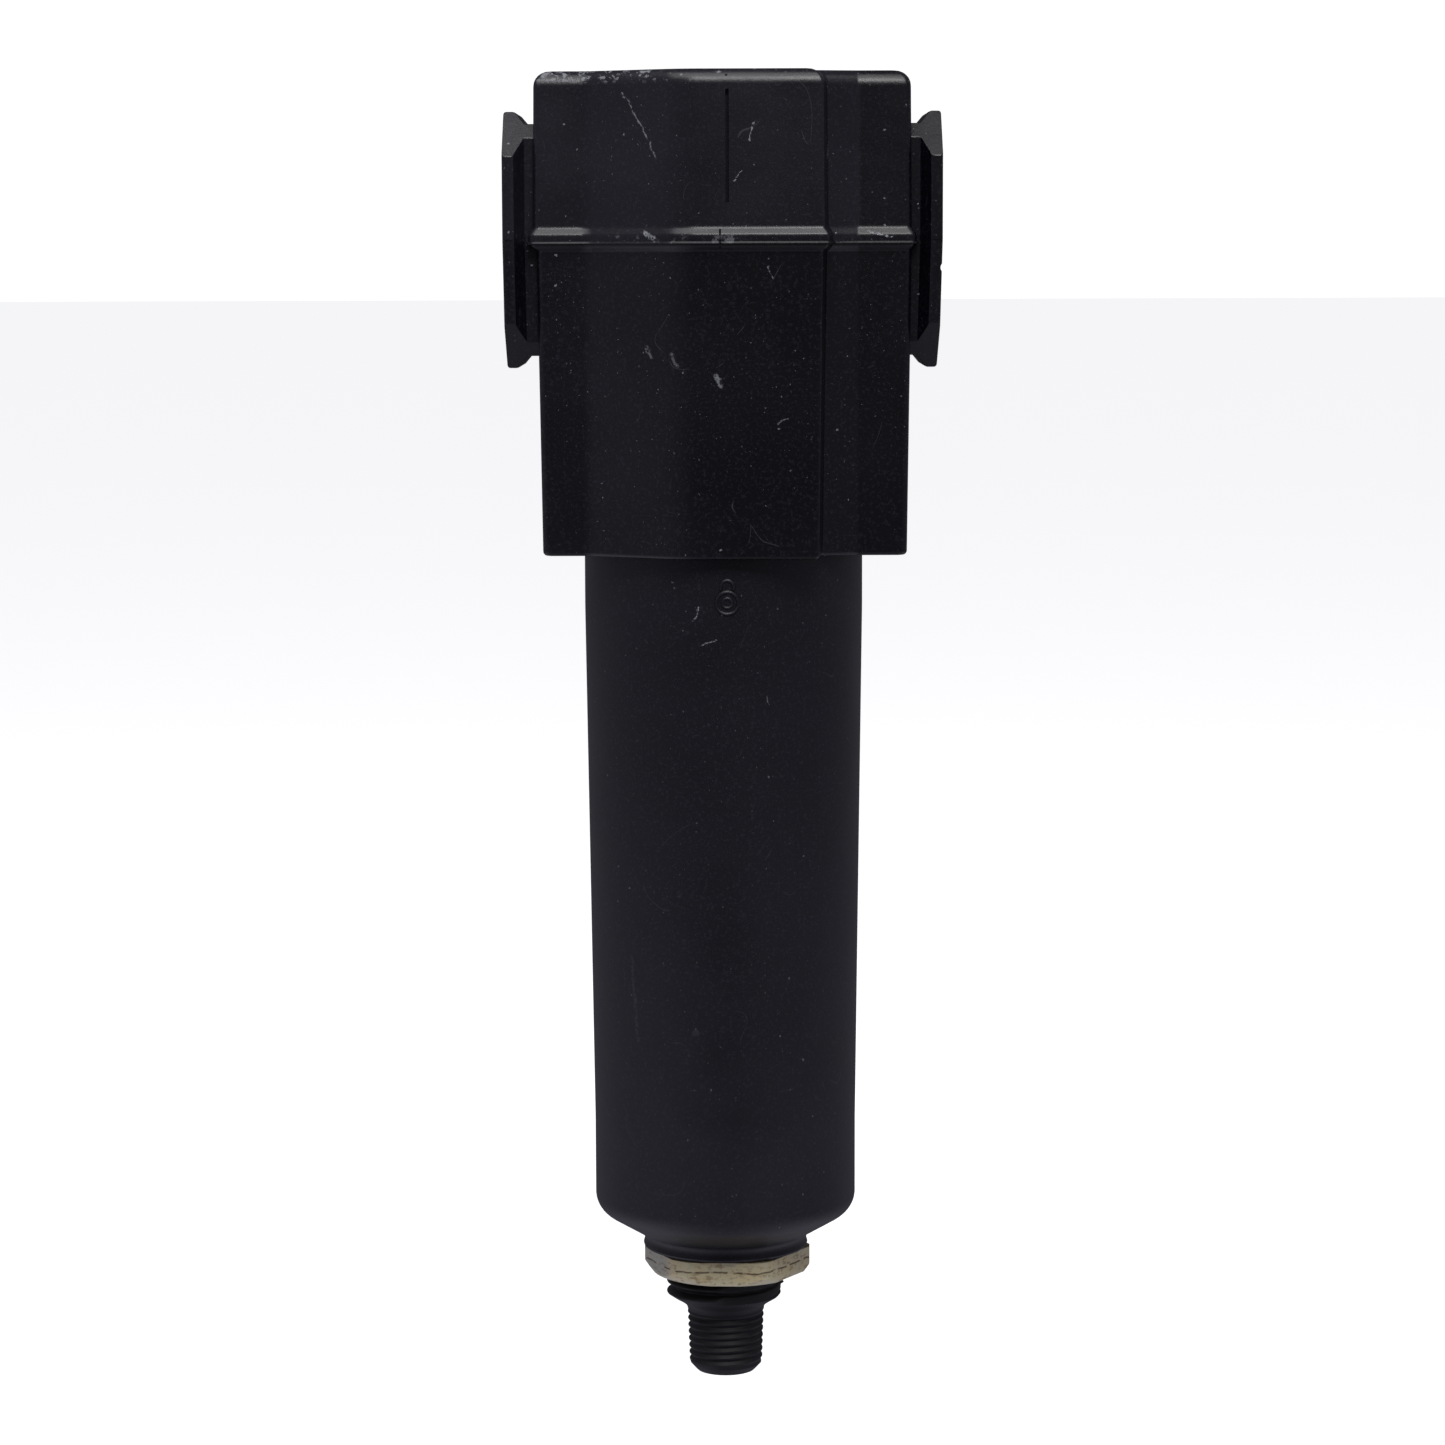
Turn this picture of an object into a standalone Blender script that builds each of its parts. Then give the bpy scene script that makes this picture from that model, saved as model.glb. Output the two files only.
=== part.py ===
"""Inline filter-muffler: a die-cast head with two side ports, a screwed metal bowl, a
silencing and coalescing element on a tie rod, and a float drain held by a jam nut.

Run it with: blender --background --python part.py
Z is up, X runs from the inlet port to the outlet port, and the origin is where the port
axis crosses the bowl's axis. Sizes are in millimetres, and the meshes are in metres.
"""

import math

import bmesh
import bpy
from mathutils import Matrix, Vector

MM = 0.001
FULL_TURN = 2 * math.pi
GAP = 0.3  # left between pieces that touch
FINE = 48  # segments of the large round pieces
INNER = 32  # segments of the round pieces inside
COARSE = 24  # segments of the small round pieces
WELD = 1e-6  # metres

# Head: plan sizes are half widths and distances from the axis
HEAD_TOP = 21.4
HEAD_BOTTOM = -40.5
HEAD_HALF_WIDTH = 24.25
SHOULDER_FACE = 14.0
SHOULDER_FOOT = 17.3  # where the shoulder meets the flank beside it
PAD_FACE = 21.4
PAD_EDGE = 12.9  # the outlet side of the pad drops straight to its flank
FLANK_FACE = 15.5
RAMP_SLOPE = math.radians(32)  # the inlet side of the pad falls away on a straight slope
RAMP_RADIUS = 8.0  # and meets the pad on a round
RAMP_STEPS = 4
TOP_CHAMFER = 0.9
DRAFT_TOP = 0.15  # how far the die's draft brings each side in, at the top
DRAFT_BOTTOM = 0.5
DIE_STEP = 0.2  # the lower die half is this much smaller all round
LAND_FEET = (1.6, -1.3)  # upper and lower foot of the parting land
LAND_CREST = (0.7, -0.4)
LAND_PROUD = 0.6
SPLIT_LINE = {"x": 0.6, "width": 0.45, "depth": 0.35, "low": 4.7, "high": 18.8}

# Clamp flanges at both ends of the port axis
FLANGE_END = 28.1
RIM_BACK = 26.6
NECK_END = 25.4
FLANGE_ROOT = 20.0
RIM_HEIGHT, RIM_DEPTH = 16.4, 14.8
NECK_HEIGHT, NECK_DEPTH = 14.8, 12.4
CORNER_REACH = 25.4  # the slanted corner face keeps height + depth at this sum

# Ports and passages inside the head
PORT_RADIUS = 5.9
PORT_CHAMFER = 1.2
PORT_DEPTH = 14.0
DRILL_RADIUS = 5.2
OUTLET_END = 10.8
OUTLET_SLOT = {"near": 10.3, "far": 17.2, "half_width": 5.3, "top": -1.0}
DOWN_PASSAGE_RADIUS = 6.5
DOWN_PASSAGE_TOP = 4.5
CEILING = -14.5
BOSS_RADIUS = 9.5
BOSS_BOTTOM = -17.5
SKIRT_RADIUS = 18.95
THREAD_BORE_RADIUS = 18.15
THREAD_BORE_BOTTOM = -35.5

# Bowl
BOWL_TOP = -17.0
BOWL_NECK_RADIUS = 17.8
BOWL_SHOULDER = -36.1
BOWL_RADIUS = 18.35
TAPER_START = -48.0
TAPER_END = -117.0
BOWL_FOOT_RADIUS = 17.45
BOWL_CORNER = 3.2
BOWL_CORNER_TOP = -127.15
CONE_SLOPE = math.radians(57)  # how far the corner turns before the closing cone
NECK_BOSS_RADIUS = 11.05
NECK_BOSS_TOP = -132.9
NECK_BOSS_BOTTOM = -134.5
BOWL_BORE_TOP = 15.0
BOWL_BORE_FOOT = 14.9
BORE_FOOT = -128.2
FLOOR = -131.2
FLOOR_RADIUS = 11.8
RING_GROOVE = {"radius": 16.2, "top": -18.3, "bottom": -20.7}
DRAIN_HOLE_RADIUS = 8.3

# Silencing element, stacked down the tie rod
ROD_RADIUS = 2.4
ROD_HOLE_RADIUS = 2.75
ROD_TOP = 14.8
ROD_BOTTOM = -85.0
ELEMENT_TOP = BOSS_BOTTOM - GAP
GASKET_THICKNESS = 0.8
CAP_THICKNESS = 2.0
CAP_SKIRT = 2.6
CAP_RADIUS = 12.35
CAP_SKIRT_WALL = 0.8
CORE_TOP = ELEMENT_TOP - GASKET_THICKNESS - CAP_THICKNESS - 2 * GAP
CORE_BOTTOM = -74.8
INNER_CORE = (6.3, 7.0)
MEDIA = (7.3, 10.3)
OUTER_CORE = (10.6, 11.2)
SOCK = (11.6, 13.2)
BAFFLE_RADIUS = 13.9
BAFFLE_LIP = 2.0
WASHER_RADIUS = 5.5
ROD_NUT = {"across_flats": 8.0, "thickness": 3.2}

# Float drain, held in the bowl's foot
FLANGE_TOP = -127.2
FLANGE_BOTTOM = -129.6
FLANGE_RADIUS = 12.9
DRAIN_GASKET = (8.7, 11.3)
COLLAR_RADIUS = 7.95
COLLAR_BOTTOM = -141.1
COLLAR_UNDERSIDE = ((7.5, -141.55), (5.7, -142.75))  # a slope down to the stem
STEM_TOP = -143.4
COLLAR_FLAT = {"distance": 6.7, "turn": math.radians(24)}
STEM_RADIUS = 5.13
STEM_TIP_RADIUS = 4.83
STEM_BOTTOM = -151.9
STEM_CHAMFER = 0.7
OUTLET_RADIUS = 2.3
NUT_ACROSS_FLATS = 20.3
NUT_THICKNESS = 3.15
NUT_ROUND_RADIUS = 11.35  # the nut's corners are turned down to this radius
NUT_FACE_RADIUS = 10.4  # and slope up from here on its lower face
NUT_CORNER_RISE = 0.8
NUT_TURN = math.radians(-3.0)
CYLINDER_TOP = -102.9
CYLINDER_RADIUS = 7.4
CYLINDER_BORE = 6.3
PARTITION = (-117.0, -120.0)
PARTITION_HOLE = 2.2
VALVE_CHAMBER = {"radius": 4.2, "bottom": -126.0}
WINDOW = {"top": -111.6, "bottom": -116.0, "width": 4.0}
CAP_TOP = -101.0
SEAT_RADIUS = 1.7
SEAT_TOP = -100.2
PILOT_RADIUS = 0.5
POST = {"near": 3.9, "far": 6.1, "inside": 2.8, "outside": 4.0, "top": -96.3}
PIVOT = (5.0, -97.8)  # X and Z of the lever's pin
PIN_RADIUS = 0.5
PIN_HALF_LENGTH = 4.7
LEVER = {"half_width": 2.4, "thickness": 1.0, "barrel": 1.5, "tip": -11.2}
PILOT_PAD = {"radius": 1.7, "thickness": 1.3}
PISTON_TOP = -104.9
PISTON_BOTTOM = -108.5
PISTON_RADIUS = 6.0
PISTON_GROOVE = {"radius": 4.9, "top": -106.1, "bottom": -107.5}
PISTON_ROD_RADIUS = 1.6
VALVE_NECK_RADIUS = 1.0
VALVE_SEAL = {"inner": 1.3, "outer": 3.4, "thickness": 1.3}
VALVE_HEAD = {"radius": 2.1, "thickness": 1.0}
SPRING = {"mean": 4.3, "wire": 0.4, "turns": 4.5, "steps": 12, "sides": 5}
FLOAT = {"inner": 7.9, "outer": 11.4, "top": -106.0, "bottom": -125.4, "post": -9.65}
CAGE = {"inner": 11.9, "outer": 12.6, "top": -90.5}
CAGE_SLOTS = {"around": 8, "tiers": 3, "width": 3.0, "height": 8.0, "first": -98.0, "pitch": 10.2}


# ---------------------------------------------------------------- modelling helpers


def clear_scene():
    for obj in list(bpy.data.objects):
        bpy.data.objects.remove(obj)


def material(name, colour, roughness, metallic=0.0):
    made = bpy.data.materials.new(name)
    made.use_nodes = True
    shader = made.node_tree.nodes["Principled BSDF"]
    shader.inputs["Base Color"].default_value = (*colour, 1.0)
    shader.inputs["Roughness"].default_value = roughness
    shader.inputs["Metallic"].default_value = metallic
    return made


def make_object(name, bm, look=None, smooth=True):
    """Turns a bmesh into an object with its faces pointing out."""
    bmesh.ops.remove_doubles(bm, verts=bm.verts, dist=WELD)
    bmesh.ops.recalc_face_normals(bm, faces=bm.faces)
    mesh = bpy.data.meshes.new(name)
    bm.to_mesh(mesh)
    bm.free()
    if smooth:
        mesh.shade_smooth()
        mesh.set_sharp_from_angle(angle=math.radians(35))
    if look:
        mesh.materials.append(look)
    obj = bpy.data.objects.new(name, mesh)
    bpy.context.scene.collection.objects.link(obj)
    return obj


def turned(name, outline, look=None, segments=FINE):
    """Revolves an outline of (radius, height) points about Z. An outline that starts and
    ends on the axis makes a solid, and any other is closed into a ring."""
    bm = bmesh.new()
    points = [bm.verts.new((radius * MM, 0, height * MM)) for radius, height in outline]
    edges = [bm.edges.new(pair) for pair in zip(points, points[1:])]
    if outline[0][0] > 0:
        edges.append(bm.edges.new((points[-1], points[0])))
    bmesh.ops.spin(
        bm, geom=points + edges, cent=(0, 0, 0), axis=(0, 0, 1), angle=FULL_TURN,
        steps=segments, use_merge=True,
    )
    return make_object(name, bm, look)


def tube(name, radii, top, bottom, look, segments=INNER):
    inner, outer = radii
    outline = [(inner, bottom), (outer, bottom), (outer, top), (inner, top)]
    return turned(name, outline, look, segments)


def o_ring(name, major, minor, height, look, segments=INNER, sides=6):
    outline = []
    for step in range(sides):
        angle = FULL_TURN * step / sides
        outline.append((major + minor * math.cos(angle), height + minor * math.sin(angle)))
    return turned(name, outline, look, segments)


def bar(name, radius, start, end, look=None, segments=COARSE, end_radius=None):
    """A round bar from start to end, or a cone where the end radius differs."""
    start, end = Vector(start) * MM, Vector(end) * MM
    along = end - start
    turn = along.to_track_quat("Z", "Y").to_matrix().to_4x4()
    bm = bmesh.new()
    bmesh.ops.create_cone(
        bm, cap_ends=True, segments=segments, radius1=radius * MM,
        radius2=(radius if end_radius is None else end_radius) * MM, depth=along.length,
        matrix=Matrix.Translation((start + end) / 2) @ turn,
    )
    return make_object(name, bm, look)


def block(name, low, high, look=None):
    """A box between two corners."""
    low, high = Vector(low) * MM, Vector(high) * MM
    place = Matrix.Translation((low + high) / 2) @ Matrix.Diagonal((*(high - low), 1.0))
    bm = bmesh.new()
    bmesh.ops.create_cube(bm, size=1.0, matrix=place)
    return make_object(name, bm, look, smooth=False)


def hexagon(name, across_flats, top, bottom, turn, look):
    """A hex bar with a flat facing along Y before it is turned."""
    radius = across_flats / math.sqrt(3)
    bm = bmesh.new()
    place = Matrix.Translation((0, 0, (top + bottom) / 2 * MM))
    bmesh.ops.create_cone(
        bm, cap_ends=True, segments=6, radius1=radius * MM, radius2=radius * MM,
        depth=(top - bottom) * MM, matrix=place @ Matrix.Rotation(turn + math.pi / 6, 4, "Z"),
    )
    return make_object(name, bm, look, smooth=False)


def skinned(name, sections, look=None):
    """A solid through a row of sections that all have the same number of points."""
    bm = bmesh.new()
    rings = []
    for section in sections:
        verts = [bm.verts.new(Vector(point) * MM) for point in section]
        rings.append([bm.edges.new(pair) for pair in zip(verts, verts[1:] + verts[:1])])
        if section is sections[0] or section is sections[-1]:
            bm.faces.new(verts)
    for near, far in zip(rings, rings[1:]):
        bmesh.ops.bridge_loops(bm, edges=near + far)
    return make_object(name, bm, look, smooth=False)


def combine(target, operation, helpers):
    for helper in helpers:
        modifier = target.modifiers.new(helper.name, "BOOLEAN")
        modifier.operation = operation
        modifier.solver = "EXACT"
        modifier.object = helper
        helper.hide_render = True
        helper.display_type = "WIRE"
    return target


def cut(target, *cutters):
    return combine(target, "DIFFERENCE", cutters)


def join(target, *others):
    return combine(target, "UNION", others)


def keep_inside(target, shape):
    return combine(target, "INTERSECT", [shape])


def arc(centre, radius, start, end, steps):
    """Points on an arc of the (radius, height) plane, from one angle to another."""
    points = []
    for step in range(steps + 1):
        angle = start + (end - start) * step / steps
        points.append((centre[0] + radius * math.cos(angle), centre[1] + radius * math.sin(angle)))
    return points


# ---------------------------------------------------------------- head


def front_outline(inset):
    """The head's front edge in plan, from the inlet side to the outlet side: a shoulder,
    a ramp up to the pad, the pad, its sharp edge, a flank and a shoulder."""
    side = HEAD_HALF_WIDTH - inset
    shoulder = SHOULDER_FACE - inset
    pad = PAD_FACE - inset
    straight_rise = pad - shoulder - RAMP_RADIUS * (1 - math.cos(RAMP_SLOPE))
    straight_end = straight_rise / math.tan(RAMP_SLOPE) - SHOULDER_FOOT
    ramp_end = straight_end + RAMP_RADIUS * math.sin(RAMP_SLOPE)
    points = [(-side, -shoulder), (-SHOULDER_FOOT, -shoulder)]
    for step in range(RAMP_STEPS + 1):
        angle = RAMP_SLOPE * (1 - step / RAMP_STEPS)
        back = RAMP_RADIUS * math.sin(angle)
        drop = RAMP_RADIUS * (1 - math.cos(angle))
        points.append((ramp_end - back, drop - pad))
    points += [
        (PAD_EDGE - inset, -pad),
        (PAD_EDGE - inset + GAP, -(FLANK_FACE - inset)),
        (SHOULDER_FOOT, -shoulder),
        (side, -shoulder),
    ]
    return points


def plan(inset, height):
    """The whole outline at one height: the back mirrors the front."""
    front = front_outline(inset)
    back = [(x, -y) for x, y in reversed(front)]
    return [(x, y, height) for x, y in front + back]


def head_casting():
    upper_foot, lower_foot = LAND_FEET
    upper_crest, lower_crest = LAND_CREST
    sections = [
        plan(DRAFT_TOP + TOP_CHAMFER, HEAD_TOP),
        plan(DRAFT_TOP, HEAD_TOP - TOP_CHAMFER),
        plan(0, upper_foot),
        plan(-LAND_PROUD, upper_crest),
        plan(-LAND_PROUD, lower_crest),
        plan(DIE_STEP, lower_foot),
        plan(DIE_STEP + DRAFT_BOTTOM, HEAD_BOTTOM),
    ]
    return skinned("head", sections, CAST_BLACK)


def flange_section(x, half_height, half_depth):
    """An octagon round the port axis. Its slanted corners all lie on one flat face."""
    corner = half_height + half_depth - CORNER_REACH
    quarter = [(half_depth, half_height - corner), (half_depth - corner, half_height)]
    points = quarter + [(-y, z) for y, z in reversed(quarter)]
    points += [(-y, -z) for y, z in points]
    return [(x, y, z) for y, z in points]


def clamp_flange(name, side):
    sections = [
        flange_section(side * FLANGE_ROOT, NECK_HEIGHT, NECK_DEPTH),
        flange_section(side * NECK_END, NECK_HEIGHT, NECK_DEPTH),
        flange_section(side * RIM_BACK, RIM_HEIGHT, RIM_DEPTH),
        flange_section(side * FLANGE_END, RIM_HEIGHT, RIM_DEPTH),
    ]
    return skinned(name, sections)


def port_cutters(label, side):
    """The tapped port and the chamfer at its mouth."""
    mouth = side * (FLANGE_END + GAP)
    chamfer_end = side * (FLANGE_END - PORT_CHAMFER)
    port_end = side * (FLANGE_END - PORT_DEPTH)
    wide = PORT_RADIUS + PORT_CHAMFER + GAP
    return [
        bar(f"{label}_port", PORT_RADIUS, (mouth, 0, 0), (port_end, 0, 0)),
        bar(f"{label}_chamfer", wide, (mouth, 0, 0), (chamfer_end, 0, 0), end_radius=PORT_RADIUS),
    ]


def passage_cutters():
    """Air comes in to the middle, goes down through the boss, and leaves by a slot that
    opens into the ring-shaped space round the boss."""
    inlet_end = -(FLANGE_END - PORT_DEPTH)
    outlet_start = FLANGE_END - PORT_DEPTH
    chamber = [
        (0, BOSS_BOTTOM), (BOSS_RADIUS, BOSS_BOTTOM), (BOSS_RADIUS, CEILING),
        (THREAD_BORE_RADIUS, CEILING), (THREAD_BORE_RADIUS, THREAD_BORE_BOTTOM),
        (SKIRT_RADIUS, THREAD_BORE_BOTTOM + BOWL_RADIUS - SKIRT_RADIUS),
        (SKIRT_RADIUS, HEAD_BOTTOM - 1), (0, HEAD_BOTTOM - 1),
    ]
    slot = OUTLET_SLOT
    return [
        bar("inlet_drill", DRILL_RADIUS, (inlet_end - 1, 0, 0), (0, 0, 0)),
        bar("outlet_drill", DRILL_RADIUS, (outlet_start + 1, 0, 0), (OUTLET_END, 0, 0)),
        bar("down_passage", DOWN_PASSAGE_RADIUS, (0, 0, DOWN_PASSAGE_TOP), (0, 0, BOSS_BOTTOM - 1)),
        bar("rod_hole", ROD_RADIUS + GAP, (0, 0, ROD_TOP + GAP), (0, 0, 0)),
        turned("bowl_socket", chamber),
        block("outlet_slot", (slot["near"], -slot["half_width"], CEILING - 1),
              (slot["far"], slot["half_width"], slot["top"])),
    ]


def split_line_cutter():
    """A shallow upright groove that a split in the die leaves in the front pad."""
    line = SPLIT_LINE
    return block(
        "split_line", (line["x"] - line["width"] / 2, -PAD_FACE - 1, line["low"]),
        (line["x"] + line["width"] / 2, -PAD_FACE + line["depth"], line["high"]),
    )


def build_head():
    head = head_casting()
    join(head, clamp_flange("inlet_flange", -1), clamp_flange("outlet_flange", 1))
    cut(head, *port_cutters("inlet", -1), *port_cutters("outlet", 1))
    cut(head, *passage_cutters(), split_line_cutter())


# ---------------------------------------------------------------- bowl


def build_bowl():
    groove = RING_GROOVE
    corner = (BOWL_FOOT_RADIUS - BOWL_CORNER, BOWL_CORNER_TOP)
    outline = [
        (BOWL_BORE_TOP, BOWL_TOP), (BOWL_NECK_RADIUS, BOWL_TOP),
        (BOWL_NECK_RADIUS, groove["top"]), (groove["radius"], groove["top"]),
        (groove["radius"], groove["bottom"]), (BOWL_NECK_RADIUS, groove["bottom"]),
        (BOWL_NECK_RADIUS, BOWL_SHOULDER),
        (BOWL_RADIUS, BOWL_SHOULDER - (BOWL_RADIUS - BOWL_NECK_RADIUS)),
        (BOWL_RADIUS, TAPER_START), (BOWL_FOOT_RADIUS, TAPER_END),
    ]
    outline += arc(corner, BOWL_CORNER, 0, -CONE_SLOPE, 4)
    outline += [
        (NECK_BOSS_RADIUS + 1.0, NECK_BOSS_TOP + 0.35), (NECK_BOSS_RADIUS, NECK_BOSS_TOP - 0.3),
        (NECK_BOSS_RADIUS, NECK_BOSS_BOTTOM), (DRAIN_HOLE_RADIUS, NECK_BOSS_BOTTOM),
        (DRAIN_HOLE_RADIUS, FLOOR), (FLOOR_RADIUS, FLOOR), (BOWL_BORE_FOOT, BORE_FOOT),
    ]
    turned("bowl", outline, BOWL_BLACK)
    middle = (groove["radius"] + THREAD_BORE_RADIUS) / 2
    minor = (THREAD_BORE_RADIUS - groove["radius"]) / 2 - 1.2 * GAP
    o_ring("bowl_seal", middle, minor, (groove["top"] + groove["bottom"]) / 2, RUBBER)


# ---------------------------------------------------------------- element


def end_cap(name, hole, plate_face, into_element, look):
    """A plate whose skirt reaches over the end of the outer core. The sign says which way
    the skirt points from the plate's outer face."""
    plate_back = plate_face + into_element * CAP_THICKNESS
    skirt_end = plate_back + into_element * CAP_SKIRT
    outline = [
        (hole, plate_face), (CAP_RADIUS, plate_face), (CAP_RADIUS, skirt_end),
        (CAP_RADIUS - CAP_SKIRT_WALL, skirt_end), (CAP_RADIUS - CAP_SKIRT_WALL, plate_back),
        (hole, plate_back),
    ]
    turned(name, outline, look, INNER)
    return skirt_end


def build_element():
    turned("tie_rod", [(0, ROD_TOP), (ROD_RADIUS, ROD_TOP), (ROD_RADIUS, ROD_BOTTOM), (0, ROD_BOTTOM)],
           BRIGHT_STEEL, COARSE)
    gasket_bottom = ELEMENT_TOP - GASKET_THICKNESS
    tube("element_gasket", (DOWN_PASSAGE_RADIUS + GAP, BOSS_RADIUS), ELEMENT_TOP, gasket_bottom, RUBBER)
    upper_skirt = end_cap("element_top_cap", DOWN_PASSAGE_RADIUS - GAP, gasket_bottom - GAP, -1,
                          ELEMENT_PLASTIC)
    bottom_face = CORE_BOTTOM - GAP - CAP_THICKNESS
    lower_skirt = end_cap("element_bottom_cap", ROD_HOLE_RADIUS, bottom_face, 1, ELEMENT_PLASTIC)
    tube("inner_core", INNER_CORE, CORE_TOP, CORE_BOTTOM, BRIGHT_STEEL)
    tube("media", MEDIA, CORE_TOP, CORE_BOTTOM, GLASS_FIBRE)
    tube("outer_core", OUTER_CORE, CORE_TOP, CORE_BOTTOM, BRIGHT_STEEL)
    tube("drain_sock", SOCK, upper_skirt - GAP, lower_skirt + GAP, FOAM)
    return bottom_face


def build_rod_hardware(element_bottom):
    """The baffle, washer and nut that hold the element up."""
    plate = element_bottom - GAP
    plate_bottom = plate - CAP_SKIRT_WALL
    turned("baffle", [
        (ROD_HOLE_RADIUS, plate), (BAFFLE_RADIUS, plate), (BAFFLE_RADIUS, plate - BAFFLE_LIP),
        (BAFFLE_RADIUS - CAP_SKIRT_WALL, plate - BAFFLE_LIP),
        (BAFFLE_RADIUS - CAP_SKIRT_WALL, plate_bottom), (ROD_HOLE_RADIUS, plate_bottom),
    ], ELEMENT_PLASTIC, INNER)
    washer_top = plate_bottom - GAP
    tube("rod_washer", (ROD_HOLE_RADIUS, WASHER_RADIUS), washer_top, washer_top - 1, BRIGHT_STEEL, COARSE)
    nut_top = washer_top - 1 - GAP
    nut_bottom = nut_top - ROD_NUT["thickness"]
    nut = hexagon("rod_nut", ROD_NUT["across_flats"], nut_top, nut_bottom, 0, BRIGHT_STEEL)
    cut(nut, bar("rod_nut_hole", ROD_HOLE_RADIUS, (0, 0, nut_top + 1), (0, 0, nut_bottom - 1)))


# ---------------------------------------------------------------- drain


def build_drain_body():
    top, bottom = PARTITION
    chamber = VALVE_CHAMBER
    outline = [
        (CYLINDER_BORE, CYLINDER_TOP), (CYLINDER_RADIUS, CYLINDER_TOP), (CYLINDER_RADIUS, FLANGE_TOP),
        (FLANGE_RADIUS, FLANGE_TOP), (FLANGE_RADIUS, FLANGE_BOTTOM), (COLLAR_RADIUS, FLANGE_BOTTOM),
        (COLLAR_RADIUS, COLLAR_BOTTOM), *COLLAR_UNDERSIDE,
        (STEM_RADIUS, STEM_TOP), (STEM_TIP_RADIUS, STEM_BOTTOM + STEM_CHAMFER),
        (STEM_TIP_RADIUS - STEM_CHAMFER, STEM_BOTTOM), (OUTLET_RADIUS, STEM_BOTTOM),
        (OUTLET_RADIUS, chamber["bottom"]), (chamber["radius"], chamber["bottom"]),
        (chamber["radius"], bottom), (PARTITION_HOLE, bottom), (PARTITION_HOLE, top),
        (CYLINDER_BORE, top),
    ]
    body = turned("drain_body", outline, DRAIN_PLASTIC, INNER)
    flat = block("collar_flat", (-COLLAR_RADIUS, -COLLAR_RADIUS - 1, STEM_TOP),
                 (COLLAR_RADIUS, -COLLAR_FLAT["distance"], FLANGE_BOTTOM - 1.6))
    flat.rotation_euler.z = COLLAR_FLAT["turn"]
    reach = CYLINDER_RADIUS + 1
    half = WINDOW["width"] / 2
    along_x = block("windows_x", (-reach, -half, WINDOW["bottom"]), (reach, half, WINDOW["top"]))
    along_y = block("windows_y", (-half, -reach, WINDOW["bottom"]), (half, reach, WINDOW["top"]))
    cut(body, flat, along_x, along_y)
    tube("drain_gasket", DRAIN_GASKET, FLANGE_BOTTOM - GAP, FLOOR + GAP, RUBBER)


def build_jam_nut():
    top = NECK_BOSS_BOTTOM - GAP
    bottom = top - NUT_THICKNESS
    nut = hexagon("jam_nut", NUT_ACROSS_FLATS, top, bottom, NUT_TURN, PALE_BRASS)
    keep_inside(nut, turned("nut_rounding", [
        (0, top), (NUT_ROUND_RADIUS, top), (NUT_ROUND_RADIUS, bottom + NUT_CORNER_RISE),
        (NUT_FACE_RADIUS, bottom), (0, bottom),
    ]))
    cut(nut, bar("jam_nut_hole", COLLAR_RADIUS + GAP, (0, 0, top + 1), (0, 0, bottom - 1), segments=FINE))


def build_cylinder_cap():
    """The pilot cylinder's lid, with the pilot seat in the middle and the lever's posts."""
    outline = [
        (PILOT_RADIUS, SEAT_TOP), (SEAT_RADIUS, SEAT_TOP), (SEAT_RADIUS, CAP_TOP),
        (CYLINDER_RADIUS, CAP_TOP), (CYLINDER_RADIUS, CYLINDER_TOP + GAP),
        (PILOT_RADIUS, CYLINDER_TOP + GAP),
    ]
    cap = turned("cylinder_cap", outline, DRAIN_WHITE, COARSE)
    x, height = PIVOT
    for side in (-1, 1):
        inner, outer = sorted((side * POST["inside"], side * POST["outside"]))
        join(cap, block(f"post_{side}", (POST["near"], inner, CAP_TOP - GAP),
                        (POST["far"], outer, POST["top"])))
    reach = PIN_HALF_LENGTH + 1
    cut(cap, bar("pin_hole", PIN_RADIUS + GAP, (x, -reach, height), (x, reach, height), segments=12))
    bar("lever_pin", PIN_RADIUS, (x, -PIN_HALF_LENGTH, height), (x, PIN_HALF_LENGTH, height),
        BRIGHT_STEEL, segments=12)


def set_origin(obj, point):
    """Moves an object's origin to a point and leaves its shape where it is."""
    place = Vector(point) * MM
    obj.data.transform(Matrix.Translation(-place))
    obj.location = place


def build_lever():
    x, height = PIVOT
    half = LEVER["thickness"] / 2
    width = LEVER["half_width"]
    lever = block("lever", (LEVER["tip"], -width, height - half), (x, width, height + half), DRAIN_WHITE)
    barrel = bar("lever_barrel", LEVER["barrel"], (x, -width, height), (x, width, height))
    hole = bar("lever_hole", PIN_RADIUS + GAP, (x, -width - 1, height), (x, width + 1, height), segments=12)
    join(lever, barrel)
    cut(lever, hole)
    set_origin(lever, (x, 0, height))
    pad_top = height - half - GAP
    bar("pilot_pad", PILOT_PAD["radius"], (0, 0, pad_top - PILOT_PAD["thickness"]), (0, 0, pad_top), RUBBER)


def build_float():
    part = FLOAT
    ring = tube("float", (part["inner"], part["outer"]), part["top"], part["bottom"], FLOAT_PLASTIC)
    post_top = PIVOT[1] - LEVER["thickness"] / 2 - GAP
    join(ring, bar("float_post", 1.0, (part["post"], 0, part["top"] - 1), (part["post"], 0, post_top),
                   segments=12))


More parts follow.
